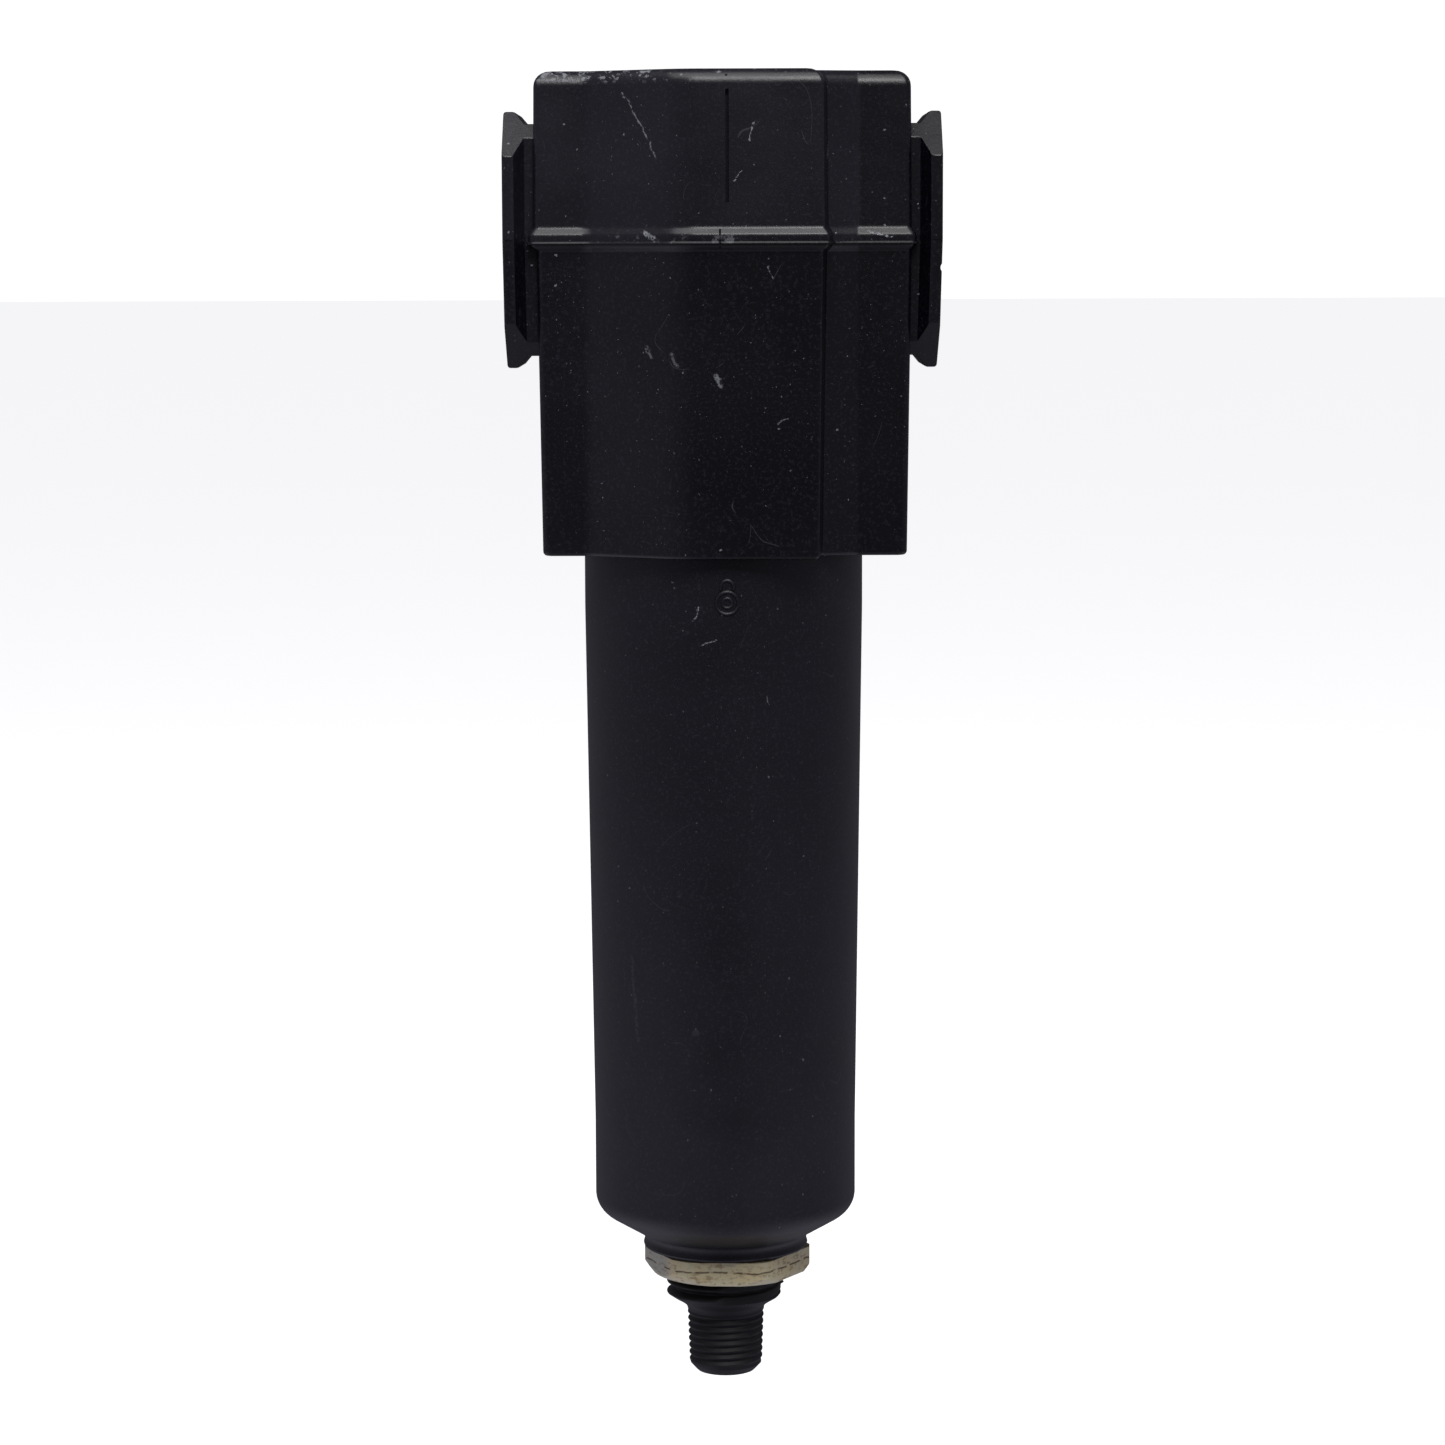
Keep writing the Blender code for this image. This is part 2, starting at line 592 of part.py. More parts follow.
def build_piston():
    groove = PISTON_GROOVE
    seat = PARTITION[1]
    seal_bottom = seat - GAP - VALVE_SEAL["thickness"]
    head_top = seal_bottom - GAP
    turned("piston", [
        (0, PISTON_TOP), (PISTON_RADIUS, PISTON_TOP), (PISTON_RADIUS, groove["top"]),
        (groove["radius"], groove["top"]), (groove["radius"], groove["bottom"]),
        (PISTON_RADIUS, groove["bottom"]), (PISTON_RADIUS, PISTON_BOTTOM),
        (PISTON_ROD_RADIUS, PISTON_BOTTOM), (PISTON_ROD_RADIUS, seat), (VALVE_NECK_RADIUS, seat),
        (VALVE_NECK_RADIUS, head_top), (VALVE_HEAD["radius"], head_top),
        (VALVE_HEAD["radius"], head_top - VALVE_HEAD["thickness"]),
        (0, head_top - VALVE_HEAD["thickness"]),
    ], DRAIN_WHITE, INNER)
    middle = (groove["radius"] + CYLINDER_BORE) / 2
    minor = (CYLINDER_BORE - groove["radius"]) / 2 - GAP
    o_ring("piston_seal", middle, minor, (groove["top"] + groove["bottom"]) / 2, RUBBER, COARSE)
    tube("valve_seal", (VALVE_SEAL["inner"], VALVE_SEAL["outer"]), seat - GAP, seal_bottom, RUBBER, COARSE)


def build_piston_spring():
    """A coil with plain ends between the partition and the piston."""
    low = PARTITION[0] + GAP + SPRING["wire"]
    high = PISTON_BOTTOM - GAP - SPRING["wire"]
    count = round(SPRING["turns"] * SPRING["steps"])
    sections = []
    for step in range(count + 1):
        share = step / count
        angle = FULL_TURN * SPRING["turns"] * share
        outward = Vector((math.cos(angle), math.sin(angle), 0))
        middle = outward * SPRING["mean"] + Vector((0, 0, low + (high - low) * share))
        section = []
        for side in range(SPRING["sides"]):
            roll = FULL_TURN * side / SPRING["sides"]
            offset = outward * math.cos(roll) + Vector((0, 0, math.sin(roll)))
            section.append(middle + offset * SPRING["wire"])
        sections.append(section)
    skinned("piston_spring", sections, BRIGHT_STEEL)


def build_cage():
    """A strainer tube that keeps dirt off the float and the windows."""
    cage = tube("cage", (CAGE["inner"], CAGE["outer"]), CAGE["top"], FLANGE_TOP + GAP, DRAIN_PLASTIC)
    slots = CAGE_SLOTS
    for tier in range(slots["tiers"]):
        top = slots["first"] - tier * slots["pitch"]
        for step in range(slots["around"] // 2):
            slot = block(
                f"slot_{tier}_{step}", (-CAGE["outer"] - 1, -slots["width"] / 2, top - slots["height"]),
                (CAGE["outer"] + 1, slots["width"] / 2, top),
            )
            slot.rotation_euler.z = FULL_TURN * step / slots["around"]
            cut(cage, slot)


clear_scene()
CAST_BLACK = material("cast_black_paint", (0.012, 0.012, 0.016), 0.42)
BOWL_BLACK = material("bowl_black_paint", (0.013, 0.014, 0.017), 0.5)
PALE_BRASS = material("pale_brass", (0.62, 0.52, 0.36), 0.38, 1.0)
DRAIN_PLASTIC = material("black_nylon", (0.012, 0.012, 0.014), 0.55)
DRAIN_WHITE = material("white_acetal", (0.78, 0.77, 0.72), 0.4)
FLOAT_PLASTIC = material("float_polypropylene", (0.55, 0.5, 0.4), 0.5)
ELEMENT_PLASTIC = material("red_nylon", (0.42, 0.03, 0.02), 0.45)
BRIGHT_STEEL = material("bright_steel", (0.56, 0.57, 0.58), 0.3, 1.0)
GLASS_FIBRE = material("glass_fibre", (0.82, 0.8, 0.74), 0.9)
FOAM = material("foam_sock", (0.72, 0.68, 0.5), 0.95)
RUBBER = material("black_rubber", (0.02, 0.02, 0.02), 0.7)

build_head()
build_bowl()
build_rod_hardware(build_element())
build_drain_body()
build_jam_nut()
build_cylinder_cap()
build_lever()
build_float()
build_piston()
build_piston_spring()
build_cage()
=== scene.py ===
"""The finished look of an inline filter-muffler: a black painted die-cast head, a satin
black bowl, a dull brass jam nut and a threaded nylon drain outlet, with the silencing
element and the float drain inside. Lengths are worked in millimetres."""

import math

import bmesh
import bpy
from mathutils import Matrix, Vector


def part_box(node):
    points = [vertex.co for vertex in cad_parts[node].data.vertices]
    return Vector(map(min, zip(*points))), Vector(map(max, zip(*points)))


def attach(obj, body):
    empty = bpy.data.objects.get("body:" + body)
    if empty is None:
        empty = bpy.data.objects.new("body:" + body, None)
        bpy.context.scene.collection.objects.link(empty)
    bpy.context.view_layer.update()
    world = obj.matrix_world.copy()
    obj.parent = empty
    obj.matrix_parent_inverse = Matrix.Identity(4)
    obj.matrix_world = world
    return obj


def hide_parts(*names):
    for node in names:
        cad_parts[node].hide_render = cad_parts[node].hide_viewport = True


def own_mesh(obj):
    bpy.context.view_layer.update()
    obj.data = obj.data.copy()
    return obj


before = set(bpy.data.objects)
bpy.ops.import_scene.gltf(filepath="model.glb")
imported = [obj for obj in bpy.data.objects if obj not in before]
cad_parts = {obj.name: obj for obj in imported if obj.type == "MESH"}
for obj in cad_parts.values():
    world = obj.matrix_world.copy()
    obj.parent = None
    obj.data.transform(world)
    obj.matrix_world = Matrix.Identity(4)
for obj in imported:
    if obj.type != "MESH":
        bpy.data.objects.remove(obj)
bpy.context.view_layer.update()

MM = 0.001
TURN = 2 * math.pi
SHARP = math.radians(32)  # edges with a larger angle than this stay crisp
SAME_PLACE = 2e-6  # points nearer than this are one, in metres
FRONT = Vector((0, -1, 0))
UP = Vector((0, 0, 1))


# ---------------------------------------------------------------- sizes from the frame


def node_box(node):
    """A node's lowest and highest corners in millimetres."""
    low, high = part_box(node)
    return Vector(low) / MM, Vector(high) / MM


HEAD_LOW, HEAD_HIGH = node_box("head")
BOWL_LOW, BOWL_HIGH = node_box("bowl")
NUT_LOW, NUT_HIGH = node_box("jam_nut")
STEM_BOTTOM = node_box("drain_body")[0].z

# Head, in plan: half widths and distances from the bowl's axis
HALF_WIDTH = 24.2
DIE_SHIFT = 0.2
SHOULDER = 14.0
SHOULDER_FOOT = 17.3
LAND_HEIGHT = 0.82  # how far the parting land's flash stands out
PAD = HEAD_HIGH.y - LAND_HEIGHT
PAD_EDGE = 12.9
FLANK = 15.5
RAMP_END = -5.45

# Flanges and ports
FLANGE_END = HEAD_HIGH.x
CORNER_REACH = 25.4  # height and depth together at a flange's slanted corners
PORT_RADIUS = 5.9
PORT_DEPTH = 14.0

# Bowl
BOWL_RADIUS = BOWL_HIGH.x
BOWL_FOOT_RADIUS = 17.45
NECK_RADIUS = 17.8
NECK_BOSS_RADIUS = 11.05

# Drain outlet
COLLAR_RADIUS = 7.95
COLLAR_BOTTOM = -141.1
STEM_RADIUS = 5.13
COLLAR_THREAD_START = 0.05  # in turns
COLLAR_FLAT = 7.45  # radius that is left where the collar's side is milled


# ---------------------------------------------------------------- shader sums


class Value:
    """A socket that takes part in ordinary arithmetic."""

    def __init__(self, look, socket):
        self.look = look
        self.socket = socket

    def __add__(self, other):
        return self.look.math("ADD", self, other)

    __radd__ = __add__

    def __sub__(self, other):
        return self.look.math("SUBTRACT", self, other)

    def __rsub__(self, other):
        return self.look.math("SUBTRACT", other, self)

    def __mul__(self, other):
        return self.look.math("MULTIPLY", self, other)

    __rmul__ = __mul__

    def __abs__(self):
        return self.look.math("ABSOLUTE", self)


class Look:
    """A material under construction. Its patterns are measured in millimetres."""

    def __init__(self, name, **constants):
        self.material = bpy.data.materials.new(name)
        self.material.use_nodes = True
        self.tree = self.material.node_tree
        self.shader = self.tree.nodes["Principled BSDF"]
        for socket, value in constants.items():
            self.shader.inputs[socket.replace("_", " ")].default_value = value
        coordinates = self.node("ShaderNodeTexCoord", output="Object")
        self.place = self.vector("SCALE", coordinates, Scale=1 / MM)
        split = self.place_parts(self.place)
        self.x, self.y, self.z = split

    def node(self, kind, settings=None, inputs=None, output=0):
        made = self.tree.nodes.new(kind)
        for key, value in (settings or {}).items():
            setattr(made, key, value)
        for key, value in (inputs or {}).items():
            self.feed(made.inputs[key], value)
        return Value(self, made.outputs[output])

    def feed(self, socket, value):
        if isinstance(value, Value):
            self.tree.links.new(value.socket, socket)
        else:
            socket.default_value = value

    def place_parts(self, vector):
        made = self.tree.nodes.new("ShaderNodeSeparateXYZ")
        self.feed(made.inputs[0], vector)
        return [Value(self, output) for output in made.outputs]

    def math(self, operation, *values):
        return self.node("ShaderNodeMath", {"operation": operation}, dict(enumerate(values)))

    def vector(self, operation, *values, output=0, **named):
        inputs = dict(enumerate(values))
        inputs.update(named)
        return self.node("ShaderNodeVectorMath", {"operation": operation}, inputs, output)

    def ramp(self, value, low, high):
        """Rises smoothly from 0 at low to 1 at high, or falls where low is the larger."""
        return self.node(
            "ShaderNodeMapRange", {"interpolation_type": "SMOOTHSTEP"},
            {"Value": value, "From Min": low, "From Max": high},
        )

    def clamp(self, value):
        return self.node("ShaderNodeClamp", inputs={0: value})

    def noise(self, size, detail=2.0, place=None, roughness=0.5, lift=0.0):
        """Cloudy noise from 0 to 1 whose features are about size millimetres across."""
        spot = place or self.place
        if lift:
            spot = self.vector("ADD", spot, (lift, lift * 0.7, -lift))
        return self.node(
            "ShaderNodeTexNoise", inputs={
                "Vector": spot, "Scale": 1 / size, "Detail": detail, "Roughness": roughness},
        )

    def specks(self, pitch, size, place=None):
        """Scattered spots of many sizes, up to size millimetres across."""
        spot = place or self.place
        cells = {"Vector": spot, "Scale": 1 / pitch}
        distance = self.node("ShaderNodeTexVoronoi", inputs=cells, output="Distance")
        chance = self.node("ShaderNodeTexVoronoi", inputs=cells, output="Color")
        red, green, _blue = self.place_parts(chance)
        reach = red * red * (size / pitch / 2) + 0.004
        return self.ramp(distance, reach, reach * 0.5) * self.ramp(green, 0.25, 0.4)

    def hairs(self, size, width, share, lift):
        """Short fine curved scratches."""
        lines = self.noise(size, detail=1.0, lift=lift)
        patches = self.noise(size * 0.45, detail=1.0, lift=lift + 31)
        line = self.ramp(abs(lines - 0.5), width, width * 0.3)
        return line * self.ramp(patches, 1 - share, 1 - share + 0.05)

    def mix(self, factor, first, second):
        made = self.tree.nodes.new("ShaderNodeMix")
        made.data_type = "RGBA"
        for socket, value in zip((made.inputs[0], made.inputs[6], made.inputs[7]), (factor, first, second)):
            if not isinstance(value, Value) and socket.type == "RGBA":
                value = (*value, 1.0)
            self.feed(socket, value)
        return Value(self, made.outputs[2])

    def bump(self, height, strength=1.0):
        """Relief whose height is given in millimetres."""
        return self.node(
            "ShaderNodeBump", inputs={"Height": height, "Distance": MM, "Strength": strength},
        )

    def finish(self, colour=None, roughness=None, normal=None, metallic=None):
        wanted = {"Base Color": colour, "Roughness": roughness, "Normal": normal, "Metallic": metallic}
        for socket, value in wanted.items():
            if value is not None:
                self.feed(self.shader.inputs[socket], value)
        return self.material


# ---------------------------------------------------------------- finishes

# Marks on the front: start and end as (X, Z) in millimetres, width and brightness
BOWL_MARKS = [
    ((-3.25, -46.7), (-3.45, -47.8), 0.13, 0.8),
    ((-3.45, -47.8), (-3.95, -48.6), 0.12, 0.6),
    ((-2.8, -51.6), (-0.9, -50.9), 0.12, 0.6),
    ((5.6, -58.2), (5.75, -59.4), 0.09, 0.4),
    ((-12.2, -93.0), (-11.4, -104.0), 0.3, 0.05),
]
HEAD_MARKS = [
    ((-12.6, 18.6), (-9.4, 12.6), 0.12, 0.6),
    ((-9.2, 12.3), (-8.4, 10.2), 0.16, 0.5),
    ((3.9, 14.6), (3.3, 12.3), 0.13, 0.7),
    ((2.4, 8.6), (1.4, 7.4), 0.12, 0.7),
    ((-0.9, -17.0), (-0.3, -18.3), 0.42, 0.5),
    ((-9.7, -13.6), (-9.1, -14.8), 0.3, 0.35),
    ((-6.6, -14.3), (-5.8, -15.9), 0.3, 0.28),
    ((5.7, -3.4), (6.5, -5.2), 0.1, 0.5),
    ((8.2, -22.5), (6.9, -23.1), 0.14, 0.4),
    ((-9.9, 0.9), (-8.7, 0.2), 0.4, 0.75),
    ((18.6, 0.9), (21.6, 0.3), 0.16, 0.9),
]


def front_marks(look, marks):
    """Straight scuffs drawn on the surfaces that face the front."""
    wander = look.node("ShaderNodeTexNoise", inputs={"Vector": look.place, "Scale": 1.3}, output="Color")
    shift = look.vector("SCALE", look.vector("SUBTRACT", wander, (0.5, 0.5, 0.5)), Scale=0.7)
    flat = look.vector("MULTIPLY", look.vector("ADD", look.place, shift), (1, 0, 1))
    grain = look.ramp(look.noise(0.35, detail=3.0), 0.38, 0.56)
    total = 0.0
    for start, end, width, brightness in marks:
        first = Vector((start[0], 0, start[1]))
        along = Vector((end[0], 0, end[1])) - first
        offset = look.vector("SUBTRACT", flat, tuple(first))
        along_share = tuple(along / along.length_squared)
        share = look.clamp(look.vector("DOT_PRODUCT", offset, along_share, output="Value"))
        nearest = look.vector("SCALE", tuple(along), Scale=share)
        distance = look.vector("DISTANCE", offset, nearest, output="Value")
        total = look.ramp(distance, width, width * 0.35) * brightness + total
    return total * grain * look.ramp(look.y, -11.0, -12.0)


BARE_GREY = (0.36, 0.37, 0.40)  # dust, and metal where the paint is gone


def black_paint(name, tint, painted_sheen, gloss, dust, marks, cast=False, peel=0.011):
    """Black paint on cast metal, with orange peel, grain, specks of dust, hairline scratches, scuffs and
    a painted sheen, a paler colour that stands in for reflected light. A casting also has a scuffed
    top edge and a rubbed parting land."""
    look = Look(name, IOR=1.5)
    wobble = look.node("ShaderNodeTexNoise", inputs={"Vector": look.place, "Scale": 2.2}, output="Color")
    bent = look.vector("ADD", look.place, look.vector("SCALE", wobble, Scale=0.5))
    specks = look.specks(1.5, 0.42, bent)
    fine = look.specks(0.55, 0.21, bent)
    hairs = look.hairs(11.0, 0.0030, 0.36, 3) + look.hairs(16.0, 0.0020, 0.38, 57)
    cloud = look.noise(14, detail=4.0)
    worn = (specks * 0.6 + fine * 0.35 + hairs * 0.09) * dust + front_marks(look, marks)
    if cast:
        edge = look.ramp(look.z, HEAD_HIGH.z - 1.9, HEAD_HIGH.z - 0.9)
        left = look.ramp(look.x, 2.0, -14.0) * 0.13
        chips = look.ramp(look.noise(0.9, detail=4.0, roughness=0.6) + left, 0.66, 0.74)
        worn = worn + edge * chips * 0.6
        land = look.ramp(abs(look.z - 0.2), 0.75, 0.5)
        rubbed = look.ramp(look.noise(2.6, detail=5.0, roughness=0.62, lift=11), 0.60, 0.68)
        worn = worn + land * rubbed * 0.3
        # Painted sheen on the casting: the upper half and the left side are paler, but not the right
        # shoulder, standing in for reflected light.
        upper_left_sheen = look.ramp(look.z, -1.0, 1.0) * 0.75 + look.ramp(look.x, 4.0, -20.0) * 0.35
        painted_sheen_mask = upper_left_sheen * look.ramp(look.x, 17.9, 17.2)
    else:
        # Painted reflection on the bowl: the paint grows paler towards the bottom, standing in for light
        # reflected from the floor below.
        painted_sheen_mask = look.ramp(look.z, -50.0, -122.0)
    colour = look.mix(painted_sheen_mask, tint, painted_sheen)
    worn = look.clamp(worn)
    uneven = look.mix(look.ramp(cloud, 0.7, 0.3) * 0.4, colour, tuple(channel * 0.5 for channel in tint))
    grain = look.ramp(look.noise(0.4, detail=3.0, roughness=0.7, lift=17), 0.5, 0.7)
    uneven = look.mix(grain * 0.075, uneven, (0.17, 0.16, 0.23))
    colour = look.mix(worn, uneven, BARE_GREY)
    roughness = gloss + (cloud - 0.5) * 0.16 + worn * 0.3
    grit = look.noise(0.32, detail=3.0, roughness=0.65)
    relief = grit * (peel * 1.5) + look.noise(3.4) * (peel * 4) + worn * 0.012
    return look.finish(colour, roughness, look.bump(relief))


def dull_brass():
    """Thin plating over brass, rubbed bright on its edges and cracked along its middle, with a painted
    greyer reflection on its left faces.
    """
    look = Look("dull_brass_plating", IOR=1.6)
    middle = (NUT_LOW.z + NUT_HIGH.z) / 2
    patches = look.noise(2.2, detail=5.0, roughness=0.6)
    dirt = look.noise(0.7, detail=4.0, roughness=0.65, lift=5)
    squashed = look.vector("MULTIPLY", look.place, (0.35, 0.35, 2.2))
    streaks = look.noise(0.8, detail=3.0, place=squashed)
    line = look.ramp(abs(look.z - middle - 0.15 + (look.noise(3.0, lift=9) - 0.5) * 0.9), 0.17, 0.03)
    crack = line * look.ramp(look.noise(1.6, detail=3.0, lift=21), 0.42, 0.50)
    base = look.mix(look.ramp(patches, 0.35, 0.65), (0.97, 0.83, 0.48), (0.92, 0.86, 0.56))
    # Painted reflection: the faces on the left are greyer, standing in for the light they reflect.
    painted_left_reflection = look.mix(look.ramp(look.x, -7.0, -8.4), base, (0.72, 0.71, 0.58))
    bright = look.mix(look.ramp(look.z, middle - 0.8, middle - 1.4) * 0.6, painted_left_reflection, (0.98, 0.94, 0.70))
    soiled = look.mix(look.ramp(dirt + (streaks - 0.5) * 0.8, 0.50, 0.74) * 0.7, bright, (0.46, 0.31, 0.15))
    colour = look.mix(crack * 0.9, soiled, (0.16, 0.10, 0.05))
    roughness = 0.5 + (patches - 0.5) * 0.3
    relief = dirt * 0.05 + patches * 0.05 - crack * 0.12
    return look.finish(colour, roughness, look.bump(relief), 0.15)


def moulded(name, tint, gloss, grain=0.006):
    """A moulded plastic or rubber with a faint even grain and handling dust."""
    look = Look(name, IOR=1.5)
    cloud = look.noise(6.0, detail=3.0)
    dust = look.specks(1.6, 0.3)
    colour = look.mix(look.ramp(cloud, 0.3, 0.8), tint, tuple(min(1, c * 1.25 + 0.002) for c in tint))
    colour = look.mix(dust * 0.35, colour, (0.4, 0.4, 0.41))
    relief = look.noise(0.3, detail=2.0) * grain
    return look.finish(colour, gloss + (cloud - 0.5) * 0.12, look.bump(relief))


def machined_steel(name, tint, gloss):
    """Bright turned steel with fine rings round the axis."""
    look = Look(name)
    rings = look.noise(0.35, detail=2.0, place=look.vector("MULTIPLY", look.place, (0.08, 0.08, 1)))
    cloud = look.noise(5.0, detail=3.0)
    colour = look.mix(look.ramp(cloud, 0.3, 0.75), tint, tuple(channel * 0.82 for channel in tint))
    return look.finish(colour, gloss + (rings - 0.5) * 0.2, look.bump(rings * 0.01), 1.0)


def fibre(name, tint, strand, depth):
    """Felted fibre or open foam."""
    look = Look(name)
    tangle = look.noise(strand, detail=5.0, roughness=0.7)
    colour = look.mix(look.ramp(tangle, 0.35, 0.65), tuple(channel * 0.62 for channel in tint), tint)
    return look.finish(colour, 0.92, look.bump(tangle * depth))


CAST_PAINT = black_paint(
    "cast_black_paint", (0.0015, 0.0013, 0.004), (0.012, 0.012, 0.018), 0.34, 1.0, HEAD_MARKS, cast=True,
)
BOWL_PAINT = black_paint(
    "bowl_black_paint", (0.0025, 0.0024, 0.0070), (0.0125, 0.0122, 0.0190), 0.44, 0.5, BOWL_MARKS,
    peel=0.014,
)
BRASS = dull_brass()
NYLON = moulded("black_nylon", (0.0040, 0.0038, 0.0055), 0.6)
ACETAL = moulded("white_acetal", (0.74, 0.73, 0.69), 0.38)
FLOAT_PLASTIC = moulded("float_plastic", (0.56, 0.50, 0.38), 0.45)
RED_NYLON = moulded("red_nylon", (0.36, 0.025, 0.018), 0.42)
RUBBER = moulded("black_rubber", (0.012, 0.012, 0.013), 0.62)
STEEL = machined_steel("bright_steel", (0.58, 0.58, 0.57), 0.28)
GLASS_FIBRE = fibre("glass_fibre", (0.80, 0.78, 0.72), 0.5, 0.2)
FOAM = fibre("drain_foam", (0.66, 0.60, 0.42), 0.9, 0.35)


# ---------------------------------------------------------------- modelling helpers


def as_object(name, bm, look):
    """A finished object, closed and with its faces outward."""
    bmesh.ops.remove_doubles(bm, verts=bm.verts, dist=SAME_PLACE)
    bmesh.ops.recalc_face_normals(bm, faces=bm.faces)
    mesh = bpy.data.meshes.new(name)
    bm.to_mesh(mesh)
    bm.free()
    mesh.shade_smooth()
    mesh.set_sharp_from_angle(angle=SHARP)
    mesh.materials.append(look)
    obj = bpy.data.objects.new(name, mesh)
    bpy.context.scene.collection.objects.link(obj)
    return obj


def revolve(outline, segments):
    """A bmesh turned from an outline of (radius, height) points. An outline off the axis
    is closed into a ring."""
    bm = bmesh.new()
    points = [bm.verts.new((radius * MM, 0, height * MM)) for radius, height in outline]
    edges = [bm.edges.new(pair) for pair in zip(points, points[1:])]
    if outline[0][0] > 0:
        edges.append(bm.edges.new((points[-1], points[0])))
    bmesh.ops.spin(
        bm, geom=points + edges, cent=(0, 0, 0), axis=(0, 0, 1), angle=TURN, steps=segments,
        use_merge=True,
    )
    bmesh.ops.remove_doubles(bm, verts=bm.verts, dist=SAME_PLACE)
    return bm


def skin(sections):
    """A bmesh through sections that all have the same number of points."""
    bm = bmesh.new()
    rings = []
    for section in sections:
        verts = [bm.verts.new(Vector(point) * MM) for point in section]
        rings.append([bm.edges.new(pair) for pair in zip(verts, verts[1:] + verts[:1])])
        if section is sections[0] or section is sections[-1]:
            bm.faces.new(verts)
    for near, far in zip(rings, rings[1:]):
        bmesh.ops.bridge_loops(bm, edges=near + far)
    return bm


def rounded(corners, steps):
    """Replaces each corner of a closed plan outline by an arc of its own radius."""
    points = []
    for index, (x, y, radius) in enumerate(corners):
        corner = Vector((x, y))
        before = Vector(corners[index - 1][:2]) - corner
        after = Vector(corners[(index + 1) % len(corners)][:2]) - corner
        half = before.angle(after) / 2
        middle = (before.normalized() + after.normalized()).normalized()
        centre = corner + middle * (radius / math.sin(half))
        start = corner + before.normalized() * (radius / math.tan(half)) - centre
        end = corner + after.normalized() * (radius / math.tan(half)) - centre
        first = math.atan2(start.y, start.x)
        sweep = (math.atan2(end.y, end.x) - first + math.pi) % TURN - math.pi
        for step in range(steps + 1):
            angle = first + sweep * step / steps
            points.append((centre.x + radius * math.cos(angle), centre.y + radius * math.sin(angle)))
    return points


def arc(centre, radius, start, end, steps):
    """Points on an arc in the (radius, height) plane. The angles are in degrees."""
    points = []
    for step in range(steps + 1):
        angle = math.radians(start + (end - start) * step / steps)
        points.append((centre[0] + radius * math.cos(angle), centre[1] + radius * math.sin(angle)))
    return points


def rows(start, end, count):
    """Points from start up to but not including end, for a stretch that gets a thread."""
    return [
        (start[0] + (end[0] - start[0]) * step / count, start[1] + (end[1] - start[1]) * step / count)
        for step in range(count)
    ]


def cut_thread(bm, pitch, depth, low, high, reach, outward=False, runout=1.0, start=0.0):
    """Sinks a right-hand V thread into the wall that lies within reach of the axis. An
    outside thread is cut inwards, and a thread in a bore is cut outwards."""
    for vert in bm.verts:
        height = vert.co.z / MM
        radius = vert.co.xy.length / MM
        if not (low <= height <= high and reach[0] <= radius <= reach[1]):
            continue
        angle = math.atan2(vert.co.y, vert.co.x) / TURN
        phase = (height / pitch - angle + start) % 1
        slope = min(1, max(0, (abs(2 * phase - 1) - 0.12) / 0.76))
        fade = min(1, (height - low) / runout, (high - height) / runout)
        change = depth * slope * fade * (1 if outward else -1)
        vert.co.xy *= (radius + change) / radius


def round_bar(radius, start, end, segments=64):
    """A round bar from one point to another."""
    start, end = Vector(start) * MM, Vector(end) * MM
    along = end - start
    bm = bmesh.new()
    bmesh.ops.create_cone(
        bm, cap_ends=True, segments=segments, radius1=radius * MM, radius2=radius * MM, depth=along.length,
        matrix=Matrix.Translation((start + end) / 2) @ along.to_track_quat("Z", "Y").to_matrix().to_4x4(),
    )
    return bm


def box(low, high):
    """A block between two corners."""
    low, high = Vector(low) * MM, Vector(high) * MM
    bm = bmesh.new()
    place = Matrix.Translation((low + high) / 2) @ Matrix.Diagonal((*(high - low), 1.0))
    bmesh.ops.create_cube(bm, size=1.0, matrix=place)
    return bm


def carve(target, operation, shapes):
    """Applies a Boolean with each shape, and removes the shapes."""
    for index, shape in enumerate(shapes):
        tool = as_object(f"{target.name}_tool_{index}", shape, target.data.materials[0])
        modifier = target.modifiers.new("shape", "BOOLEAN")
        modifier.operation = operation
        modifier.solver = "EXACT"
        modifier.object = tool
        with bpy.context.temp_override(object=target, active_object=target):
            bpy.ops.object.modifier_apply(modifier=modifier.name)
        bpy.data.objects.remove(tool)
    target.data.shade_smooth()
    target.data.set_sharp_from_angle(angle=SHARP)


def even_shading(obj):
    """Lets the large faces keep their own direction where they meet small rounded ones."""
    modifier = obj.modifiers.new("even shading", "WEIGHTED_NORMAL")
    modifier.keep_sharp = True
    modifier.weight = 80


# ---------------------------------------------------------------- head


def head_plan(inset, height):
    """The head's outline at one height. The lower die half sits a touch toward the outlet,
    and the parting land hardly shows on the flanks."""
    shift = DIE_SHIFT if height < -1.0 else 0
    inlet_side = HALF_WIDTH - inset - shift
    outlet_side = HALF_WIDTH - inset + shift
    shoulder = SHOULDER - inset
    pad = PAD - inset
    flank = FLANK - (inset if inset > 0 else inset * 0.2)
    front = [
        (-inlet_side, -shoulder, 0.8), (-SHOULDER_FOOT, -shoulder, 3.0), (RAMP_END, -pad, 8.0),
        (PAD_EDGE - inset, -pad, 0.4), (PAD_EDGE - inset + 0.5, -flank, 0.5),
        (SHOULDER_FOOT, -shoulder, 1.2), (outlet_side, -shoulder, 0.8),
    ]
    back = [(x, -y, radius) for x, y, radius in reversed(front)]
    return [(x, y, height) for x, y in rounded(front + back, 6)]


